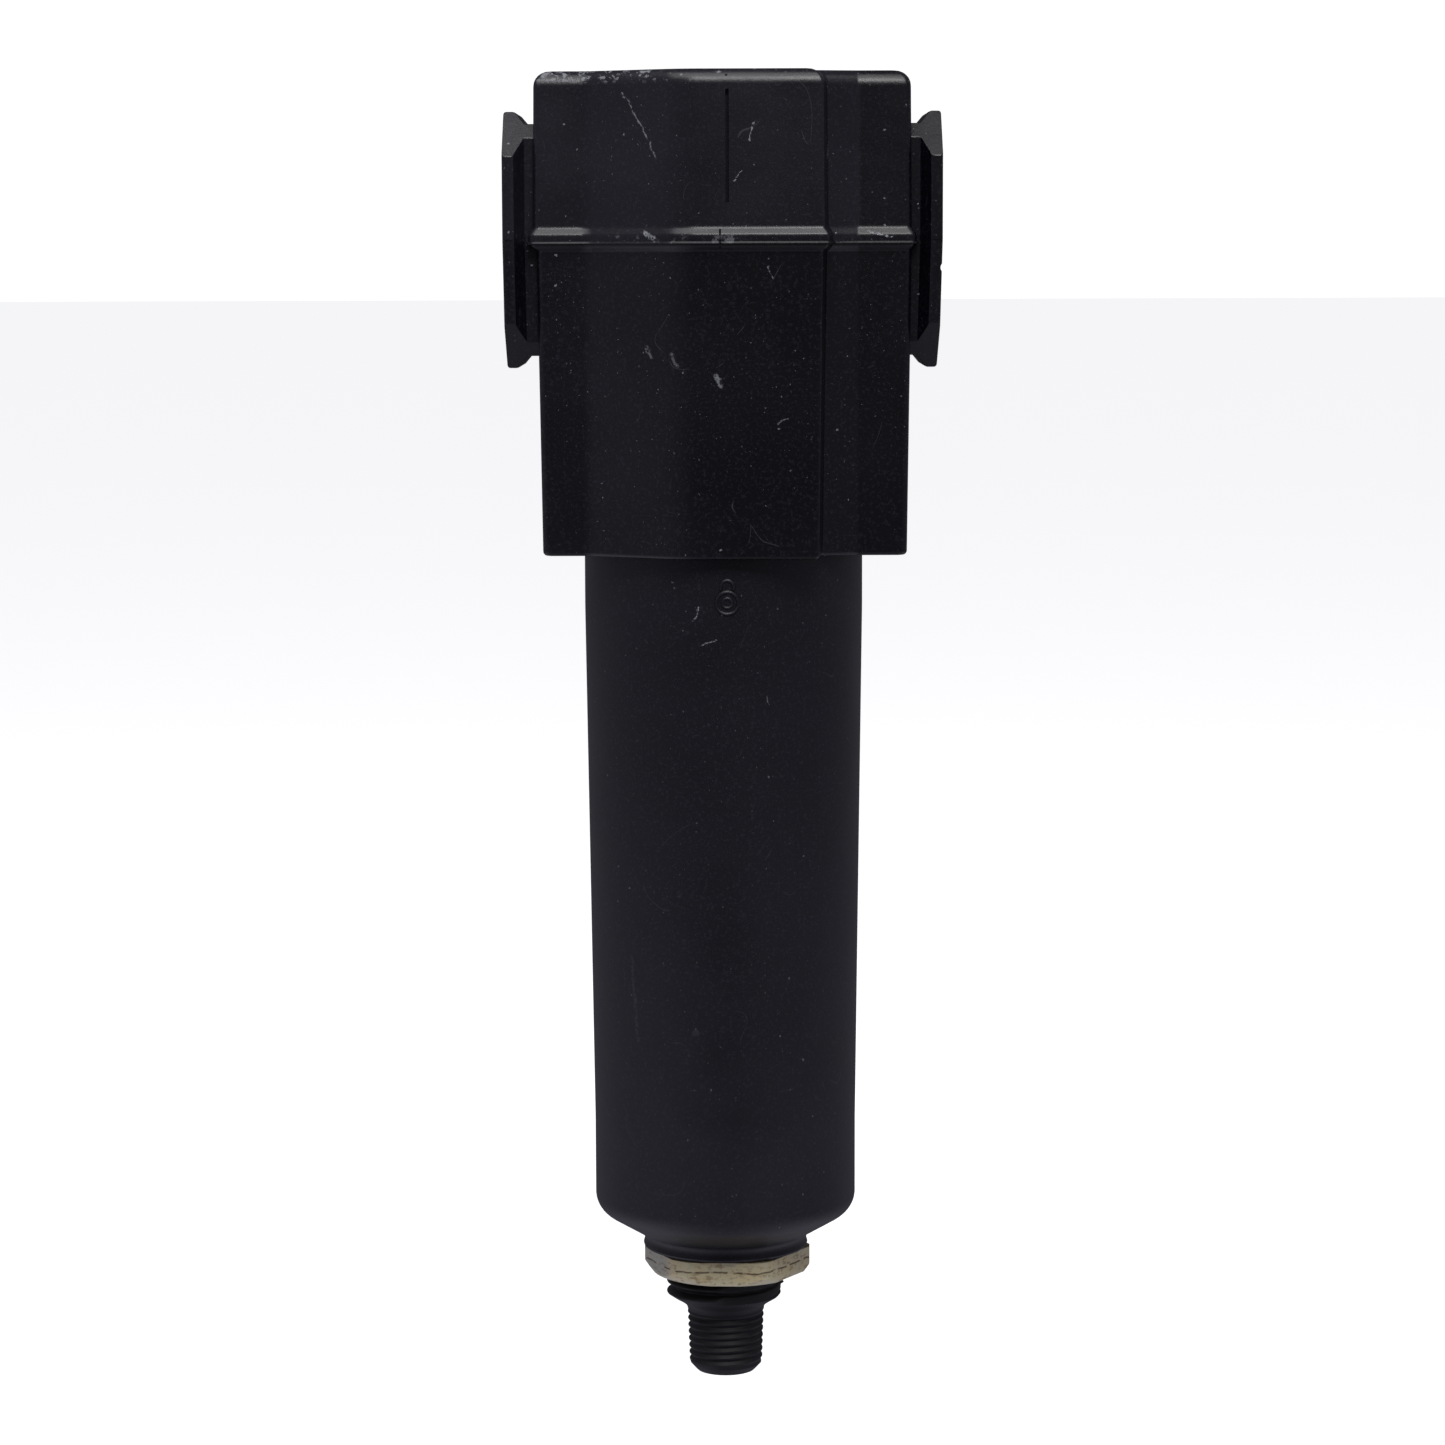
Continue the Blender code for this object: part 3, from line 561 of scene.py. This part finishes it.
def head_profile():
    """Height and inset down the head's side: rounded top edge, drafted upper half, parting
    land with its flash, drafted lower half that is a touch smaller, rounded bottom edge."""
    top, bottom = HEAD_HIGH.z, HEAD_LOW.z
    top_round, bottom_round = 2.0, 0.6
    top_draft, lower_step, bottom_draft = 0.15, 0.2, 0.5
    profile = []
    for step in range(7):
        angle = math.radians(90 * step / 6)
        inset = top_draft + top_round * (1 - math.sin(angle))
        profile.append((top - top_round * (1 - math.cos(angle)), inset))
    profile += [
        (10.5, top_draft * 0.5), (1.85, 0.0), (1.6, -0.03), (1.35, -0.14), (0.85, -0.5), (0.65, -0.58),
        (0.45, -0.6), (-0.2, -0.6), (-0.42, -LAND_HEIGHT), (-0.54, -LAND_HEIGHT), (-0.6, -0.5),
        (-0.75, -0.46), (-0.95, -0.36), (-1.3, 0.04), (-1.45, 0.16), (-1.7, lower_step),
        (-20.0, lower_step + bottom_draft * 0.5),
    ]
    end = lower_step + bottom_draft
    for step in range(6):
        angle = math.radians(90 * step / 5)
        inset = end + bottom_round * (1 - math.cos(angle))
        profile.append((bottom + bottom_round * (1 - math.sin(angle)), inset))
    return profile


def flange_section(x, height, depth):
    """One slice of a flange: an octagon whose slanted corners are at one distance from the
    middle, so that slices of any size share them."""
    corner = height + depth - CORNER_REACH
    quarter = [(depth, height - corner), (depth - corner, height)]
    half = quarter + [(-y, z) for y, z in reversed(quarter)]
    outline = half + [(-y, -z) for y, z in half]
    return [(x, y, z) for y, z in rounded([(y, z, 0.35) for y, z in outline], 4)]


def flange(side):
    """A clamp flange: a rim with a wedge behind it on a shorter neck. The lower half has the
    draft that lets it leave the die. Sizes are half heights and half depths."""
    rim, neck, edge = (16.4, 14.8), (14.8, 12.4), 0.35
    stations = [
        (20.0, neck), (25.2, neck), (25.45, (14.9, 12.54)), (26.4, (16.05, 14.25)),
        (26.6, (16.3, 14.65)), (26.9, rim),
    ]
    for angle in (0, 30, 60, 90):
        inset = edge * (1 - math.cos(math.radians(angle)))
        reach = edge * math.sin(math.radians(angle))
        stations.append((FLANGE_END - edge + reach, (rim[0] - inset, rim[1] - inset)))
    bm = skin([flange_section(side * x, *size) for x, size in stations])
    everything = list(bm.verts) + list(bm.edges) + list(bm.faces)
    bmesh.ops.bisect_plane(bm, geom=everything, plane_co=(0, 0, 0), plane_no=(0, 0, 1))
    draft = 0.25 if side < 0 else 0.45
    for vert in bm.verts:
        drop = -vert.co.z / MM
        if drop > 0 and abs(vert.co.x) > 22 * MM:
            vert.co.x -= side * draft * drop / rim[0] * MM
    return bm


def port_hollow(side):
    """The room for a port's threaded sleeve, and the drilling behind it."""
    end = FLANGE_END - PORT_DEPTH
    return [
        round_bar(PORT_RADIUS + 0.75, (side * (FLANGE_END + 1), 0, 0), (side * end, 0, 0)),
        round_bar(5.2, (side * (end + 1), 0, 0), (side * 10.8 if side > 0 else 0, 0, 0)),
    ]


def inner_hollows():
    """The passage down through the boss, the ring-shaped space round it, and the socket."""
    ceiling, boss_bottom, boss, bore, skirt = -14.5, -17.5, 9.5, 18.15, 18.95
    socket = [
        (0, boss_bottom), (boss, boss_bottom), (boss, ceiling), (bore, ceiling), (bore, -35.5),
        (skirt, -36.3), (skirt, HEAD_LOW.z - 1), (0, HEAD_LOW.z - 1),
    ]
    return [
        round_bar(6.5, (0, 0, 4.5), (0, 0, boss_bottom - 1)),
        round_bar(2.7, (0, 0, 15.1), (0, 0, 0)),
        revolve(socket, 128),
        box((10.3, -5.3, ceiling - 1), (17.2, 5.3, -1.0)),
    ]


def front_grooves():
    """The upright split line in the pad and the break it makes in the parting land."""
    return [
        box((0.38, -PAD - 1, 4.7), (0.82, -PAD + 1.0, 18.8)),
        box((-0.45, -PAD - 1, -1.6), (-0.2, -PAD - 0.15, 1.9)),
        box((0.35, -PAD - 1, 20.4), (0.65, -PAD + 0.6, HEAD_HIGH.z + 1)),
    ]


def flash_fins():
    """A thin raised line where the die halves meet on each flange's rim."""
    fins = []
    for side in (-1, 1):
        near, far = sorted((side * 26.7, side * (FLANGE_END - 0.12)))
        fins.append(box((near, -14.92, 0.02), (far, 14.92, 0.16)))
    return fins


def port_sleeve(name, side):
    """The tapped wall of a port: a tapered pipe thread of 18 turns to the inch."""
    pitch = 25.4 / 18
    deep = 12.6
    count = round(deep / pitch * 12)
    outer = PORT_RADIUS + 0.9
    mouth = PORT_DEPTH - 0.22
    outline = [(outer, 0.0), (outer, mouth), (6.35, mouth)]
    outline += rows((6.35, mouth - 0.3), (5.65, PORT_DEPTH - deep), count)
    outline += [(5.65, PORT_DEPTH - deep), (5.65, 0.0)]
    bm = revolve(outline, 80)
    cut_thread(bm, pitch, 0.75, PORT_DEPTH - deep, PORT_DEPTH + 0.5, (5.0, 6.5), outward=True, runout=1.2)
    for vert in bm.verts:
        radius = vert.co.xy.length / MM
        depth = PORT_DEPTH - vert.co.z / MM
        widest = outer - 0.05
        chamfer = widest - depth
        if radius < outer - 0.01 and depth < 1.3 and radius < chamfer:
            vert.co.xy *= chamfer / radius
    turn = Matrix.Rotation(side * math.pi / 2, 4, "Y")
    start = Matrix.Translation((side * (FLANGE_END - PORT_DEPTH) * MM, 0, 0))
    bmesh.ops.transform(bm, matrix=start @ turn, verts=bm.verts)
    sleeve = as_object(name, bm, CAST_PAINT)
    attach(sleeve, "housing")


def make_head():
    """The casting with its flanges, passages, split line and a small nick in one rim."""
    sections = [head_plan(inset, height) for height, inset in head_profile()]
    head = as_object("head_casting", skin(sections), CAST_PAINT)
    nick_at = FLANGE_END + 0.45
    nick = round_bar(0.75, (nick_at, -18, -3.6), (nick_at, 18, -3.6), segments=24)
    carve(head, "UNION", [flange(-1), flange(1)] + flash_fins())
    hollows = port_hollow(-1) + port_hollow(1) + inner_hollows()
    carve(head, "DIFFERENCE", hollows + front_grooves() + [nick])
    even_shading(head)
    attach(head, "housing")
    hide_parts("head")
    port_sleeve("inlet_port_thread", -1)
    port_sleeve("outlet_port_thread", 1)


# ---------------------------------------------------------------- bowl


def make_bowl():
    """The bowl: a neck with its seal groove and coarse thread, a long tapered wall, a cone
    and a short boss. The inner wall follows at the end of the outline."""
    top, bottom = BOWL_HIGH.z, BOWL_LOW.z
    thread_top, thread_bottom = -21.5, -34.0
    pitch = 2.0
    outline = [
        (15.0, top), (NECK_RADIUS - 0.5, top), (NECK_RADIUS, top - 0.5), (NECK_RADIUS, -18.3),
        (16.2, -18.3), (16.2, -20.7), (NECK_RADIUS, -20.7),
    ]
    outline += rows((NECK_RADIUS, thread_top), (NECK_RADIUS, thread_bottom), 60)
    outline += [
        (NECK_RADIUS, thread_bottom), (NECK_RADIUS, -36.1), (BOWL_RADIUS, -36.7), (BOWL_RADIUS, -48.0),
        (BOWL_FOOT_RADIUS + 0.45, -82.0), (BOWL_FOOT_RADIUS, -117.0),
    ]
    outline += arc((BOWL_FOOT_RADIUS - 3.2, -127.15), 3.2, 0, -57, 10)
    outline += arc((NECK_BOSS_RADIUS + 1.2, -133.65), 1.35, 118, 185, 8)
    outline += [(NECK_BOSS_RADIUS, bottom + 0.25), (NECK_BOSS_RADIUS - 0.1, bottom)]
    outline += [(8.3, bottom), (8.3, -131.2), (11.8, -131.2), (14.9, -128.2)]
    bm = revolve(outline, 144)
    cut_thread(bm, pitch, 0.85, thread_bottom, thread_top, (NECK_RADIUS - 1, NECK_RADIUS + 0.1))
    bowl = as_object("bowl_shell", bm, BOWL_PAINT)
    even_shading(bowl)
    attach(bowl, "bowl_unit")
    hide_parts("bowl")


def raised_ring(bm, centre, major, minor, start, end, steps=48):
    """A low half-buried ring, or part of one, standing on the bowl's front."""
    sides = 8
    sections = []
    for step in range(steps + 1):
        angle = math.radians(start + (end - start) * step / steps)
        outward = Vector((math.cos(angle), 0, math.sin(angle)))
        middle = Vector((centre[0], 0, centre[1])) + outward * major
        middle.y = -math.sqrt(BOWL_RADIUS ** 2 - middle.x ** 2)
        section = []
        for side in range(sides):
            roll = TURN * side / sides
            section.append(middle + outward * minor * math.cos(roll) + FRONT * minor * math.sin(roll))
        sections.append(section)
    ring = skin(sections)
    piece = bpy.data.meshes.new("ring")
    ring.to_mesh(piece)
    ring.free()
    bm.from_mesh(piece)
    bpy.data.meshes.remove(piece)


def make_index_mark():
    """A plain moulded mark of round beads under the head, with no lettering."""
    bm = bmesh.new()
    raised_ring(bm, (0.45, -46.15), 1.42, 0.24, 0, 359.9)
    raised_ring(bm, (0.45, -46.15), 0.62, 0.2, 0, 359.9, 32)
    raised_ring(bm, (0.45, -44.1), 0.85, 0.24, -25, 205, 32)
    mark = as_object("bowl_index_mark", bm, BOWL_PAINT)
    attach(mark, "bowl_unit")


# ---------------------------------------------------------------- drain outlet


def make_jam_nut():
    """A thin hex nut whose corners are turned off, more so below, a touch off centre."""
    across_flats, rim = 20.3, 11.12
    low, high = NUT_LOW.z, NUT_HIGH.z
    corner = across_flats / math.sqrt(3) * MM
    turn = Matrix.Rotation(math.radians(-3.0) + math.pi / 6, 4, "Z")
    bm = bmesh.new()
    bmesh.ops.create_cone(
        bm, cap_ends=True, segments=6, radius1=corner, radius2=corner, depth=(high - low) * MM,
        matrix=Matrix.Translation((0, 0, (high + low) / 2 * MM)) @ turn,
    )
    nut = as_object("jam_nut_body", bm, BRASS)
    barrel = revolve([(0, high + 1), (rim, high + 1), (rim, low - 1), (0, low - 1)], 128)
    bmesh.ops.translate(barrel, vec=(0.22 * MM, 0, 0), verts=barrel.verts)
    cone = revolve([(0, high + 1), (13.5, high + 1), (9.6, low - 1), (0, low - 1)], 128)
    bmesh.ops.translate(cone, vec=(0.45 * MM, 0, 0), verts=cone.verts)
    carve(nut, "INTERSECT", [barrel, cone])
    bore = [
        (0, high + 1), (8.9, high + 1), (8.9, high), (8.25, high - 0.65), (8.25, low + 0.65), (8.9, low),
        (8.9, low - 1), (0, low - 1),
    ]
    carve(nut, "DIFFERENCE", [revolve(bore, 96)])
    bevel = nut.modifiers.new("worn edges", "BEVEL")
    bevel.width = 0.18 * MM
    bevel.segments = 3
    bevel.limit_method = "ANGLE"
    bevel.angle_limit = math.radians(28)
    even_shading(nut)
    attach(nut, "bowl_unit")
    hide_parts("jam_nut")


def make_drain_outlet():
    """The collar with its coarse thread and milled flat, and the stem with its pipe thread."""
    collar_pitch, stem_pitch = 1.5, 25.4 / 27
    collar_rows = round(10.9 / collar_pitch * 14)
    stem_rows = round(7.1 / stem_pitch * 14)
    tip = STEM_BOTTOM
    outline = [
        (7.4, -126.0), (7.4, -127.2), (12.6, -127.2), (12.9, -127.5), (12.9, -129.3), (12.6, -129.6),
        (COLLAR_RADIUS, -129.6),
    ]
    outline += rows((COLLAR_RADIUS, -130.2), (COLLAR_RADIUS, COLLAR_BOTTOM), collar_rows)
    outline += [
        (COLLAR_RADIUS, COLLAR_BOTTOM), (7.7, -141.3), (7.2, -141.6), (6.35, -142.1), (5.65, -142.6),
        (5.3, -142.95),
    ]
    outline += rows((5.17, -143.4), (4.93, tip + 1.45), stem_rows)
    outline += [
        (4.93, tip + 1.45), (4.8, tip + 0.95), (4.1, tip + 0.2), (3.9, tip), (2.5, tip), (2.3, tip + 0.2),
        (2.3, -126.0),
    ]
    bm = revolve(outline, 88)
    cut_thread(
        bm, collar_pitch, 0.9, -141.4, -130.1, (COLLAR_RADIUS - 0.3, COLLAR_RADIUS + 0.1), runout=0.5,
        start=COLLAR_THREAD_START,
    )
    cut_thread(bm, stem_pitch, 0.34, tip + 0.9, -143.4, (4.7, STEM_RADIUS + 0.1), runout=0.8)
    for vert in bm.verts:
        turn = math.degrees(math.atan2(vert.co.x, -vert.co.y))
        height = vert.co.z / MM
        top = -137.0 - max(0, turn - 60) * 0.09
        within = min(1, (turn + 8) / 6, (112 - turn) / 6, (top - height) / 0.4)
        radius = vert.co.xy.length / MM
        if height > tip + 2 and within > 0 and radius > COLLAR_FLAT:
            vert.co.xy *= 1 - within * (1 - COLLAR_FLAT / radius)
    outlet = as_object("drain_outlet", bm, NYLON)
    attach(outlet, "bowl_unit")
    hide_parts("drain_body")


def make_drain_cylinder():
    """The pilot cylinder above the drain's flange, with its drain windows."""
    outline = [(6.3, -102.9), (7.2, -102.9), (7.4, -103.1), (7.4, -126.0), (4.2, -126.0), (4.2, -120.0),
               (2.2, -120.0), (2.2, -117.2), (2.4, -117.0), (6.3, -117.0)]
    cylinder = as_object("drain_cylinder", revolve(outline, 80), NYLON)
    carve(cylinder, "DIFFERENCE", [
        box((-9, -2, -116.0), (9, 2, -111.6)),
        box((-2, -9, -116.0), (2, 9, -111.6)),
    ])
    even_shading(cylinder)
    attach(cylinder, "bowl_unit")


def make_return_spring():
    """The wire coil under the piston, made at one length; in the real drain it shortens as the piston goes
    down.
    """
    low, high = node_box("piston_spring")
    mean, wire, turns, steps, sides, stroke = 4.3, 0.4, 4.5, 28, 10, 2.0
    bottom, top = low.z + wire, high.z - wire
    count = round(turns * steps)
    sections = []
    for step in range(count + 1):
        angle = TURN * turns * step / count
        outward = Vector((math.cos(angle), math.sin(angle), 0))
        middle = outward * mean + UP * (bottom + (top - bottom) * step / count)
        rolls = [TURN * side / sides for side in range(sides)]
        rims = [outward * math.cos(roll) + UP * math.sin(roll) for roll in rolls]
        sections.append([middle + rim * wire for rim in rims])
    spring = as_object("return_spring", skin(sections), STEEL)
    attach(spring, "bowl_unit")
    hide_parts("piston_spring")
    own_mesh(spring)


# ---------------------------------------------------------------- pieces kept from the frame

KEPT_FINISHES = {
    "bowl_seal": RUBBER, "tie_rod": STEEL, "element_gasket": RUBBER, "element_top_cap": RED_NYLON,
    "inner_core": STEEL, "media": GLASS_FIBRE, "outer_core": STEEL, "drain_sock": FOAM,
    "element_bottom_cap": RED_NYLON, "baffle": RED_NYLON, "rod_washer": STEEL, "rod_nut": STEEL,
    "drain_gasket": RUBBER, "cage": NYLON, "cylinder_cap": ACETAL, "lever_pin": STEEL,
    "float": FLOAT_PLASTIC, "lever": ACETAL, "pilot_pad": RUBBER, "piston": ACETAL,
    "piston_seal": RUBBER, "valve_seal": RUBBER,
}


def finish_kept_pieces():
    for node, look in KEPT_FINISHES.items():
        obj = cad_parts[node]
        for slot in obj.material_slots:
            slot.material = look


# ---------------------------------------------------------------- studio


def make_floor():
    """A plain white floor that carries on out of view."""
    bm = bmesh.new()
    bmesh.ops.create_grid(bm, x_segments=1, y_segments=1, size=12.0)
    bmesh.ops.translate(bm, vec=(0, 0, (STEM_BOTTOM - FLOOR_DROP) * MM), verts=bm.verts)
    look = bpy.data.materials.new("white_floor")
    look.use_nodes = True
    shader = look.node_tree.nodes["Principled BSDF"]
    shader.inputs["Base Color"].default_value = (0.9, 0.9, 0.9, 1)
    shader.inputs["Roughness"].default_value = 0.9
    shader.inputs["Emission Color"].default_value = (1, 1, 1, 1)
    shader.inputs["Emission Strength"].default_value = 0.8
    floor = as_object("floor", bm, look)
    floor.visible_glossy = False
    floor.visible_diffuse = False


def soft_light(name, place, size, power, aim=(0, 0, -0.04)):
    """A soft lamp, its place, size and aim in metres and its power in watts."""
    data = bpy.data.lights.new(name, "AREA")
    data.shape = "RECTANGLE"
    data.size, data.size_y = size
    data.energy = power
    light = bpy.data.objects.new(name, data)
    light.location = place
    light.rotation_euler = (Vector(aim) - Vector(place)).to_track_quat("-Z", "Y").to_euler()
    bpy.context.scene.collection.objects.link(light)


FLOOR_DROP = 22  # from the stem's end down to the floor
PALE_BLUE = (0.97, 0.95, 1.13)

# The room's brightness from left to right, and from straight down to straight up
ACROSS_ROOM = [(0.0, 0.27), (0.25, 0.18), (0.5, 0.06), (0.75, 0.17), (1.0, 0.21)]
UP_ROOM = [(0.0, 0.7), (0.12, 0.65), (0.24, 0.28), (0.36, 0.2), (0.45, 0.18), (1.0, 0.18)]
UP_ROOM_GAIN = 5.0


def room_shade(tree, direction, brightnesses):
    """The room's shade along one direction."""
    along = tree.nodes.new("ShaderNodeMapRange")
    along.inputs["From Min"].default_value = -1.0
    tree.links.new(direction, along.inputs["Value"])
    shade = tree.nodes.new("ShaderNodeValToRGB")
    stops = shade.color_ramp.elements
    stops.remove(stops[1])
    for position, brightness in brightnesses:
        stop = stops.new(position) if position else stops[0]
        stop.color = (*(channel * brightness for channel in PALE_BLUE), 1)
    tree.links.new(along.outputs[0], shade.inputs[0])
    return shade.outputs[0]


def make_studio():
    """A dim room, palest on the left and near the floor. The backdrop that is seen directly
    is plain white."""
    world = bpy.data.worlds.new("studio")
    world.use_nodes = True
    tree = world.node_tree
    room = tree.nodes["Background"]
    backdrop = tree.nodes.new("ShaderNodeBackground")
    backdrop.inputs["Color"].default_value = (1, 1, 1, 1)
    backdrop.inputs["Strength"].default_value = 1.05
    direction = tree.nodes.new("ShaderNodeTexCoord")
    split = tree.nodes.new("ShaderNodeSeparateXYZ")
    tree.links.new(direction.outputs["Generated"], split.inputs[0])
    tree.links.new(room_shade(tree, split.outputs["X"], ACROSS_ROOM), room.inputs["Color"])
    gain = tree.nodes.new("ShaderNodeMath")
    gain.operation = "MULTIPLY"
    gain.inputs[1].default_value = UP_ROOM_GAIN
    tree.links.new(room_shade(tree, split.outputs["Z"], UP_ROOM), gain.inputs[0])
    tree.links.new(gain.outputs[0], room.inputs["Strength"])
    path = tree.nodes.new("ShaderNodeLightPath")
    choose = tree.nodes.new("ShaderNodeMixShader")
    tree.links.new(path.outputs["Is Camera Ray"], choose.inputs[0])
    tree.links.new(room.outputs[0], choose.inputs[1])
    tree.links.new(backdrop.outputs[0], choose.inputs[2])
    tree.links.new(choose.outputs[0], tree.nodes["World Output"].inputs["Surface"])
    bpy.context.scene.world = world
    soft_light("overhead_softbox", (-0.05, -0.22, 0.55), (0.6, 0.45), 2.0)
    soft_light("front_softbox", (0.1, -0.7, 0.66), (0.35, 0.35), 3.8, (0, 0, -0.13))
    bpy.context.scene.view_settings.view_transform = "Standard"


def make_camera():
    """Level with the ports, looking down a little so that the bowl is in view."""
    data = bpy.data.cameras.new("camera")
    data.sensor_width = 36.0
    data.lens = 99.0
    camera = bpy.data.objects.new("camera", data)
    pitch, roll = math.radians(90 - 6.87), math.radians(-0.18)
    turn = Matrix.Rotation(pitch, 4, "X") @ Matrix.Rotation(roll, 4, "Z")
    camera.matrix_world = Matrix.Translation((-0.0002, -0.525, -0.0005)) @ turn
    bpy.context.scene.collection.objects.link(camera)
    bpy.context.scene.camera = camera


make_camera()
make_studio()
make_floor()
make_head()
make_bowl()
make_index_mark()
make_jam_nut()
make_drain_outlet()
make_drain_cylinder()
make_return_spring()
finish_kept_pieces()
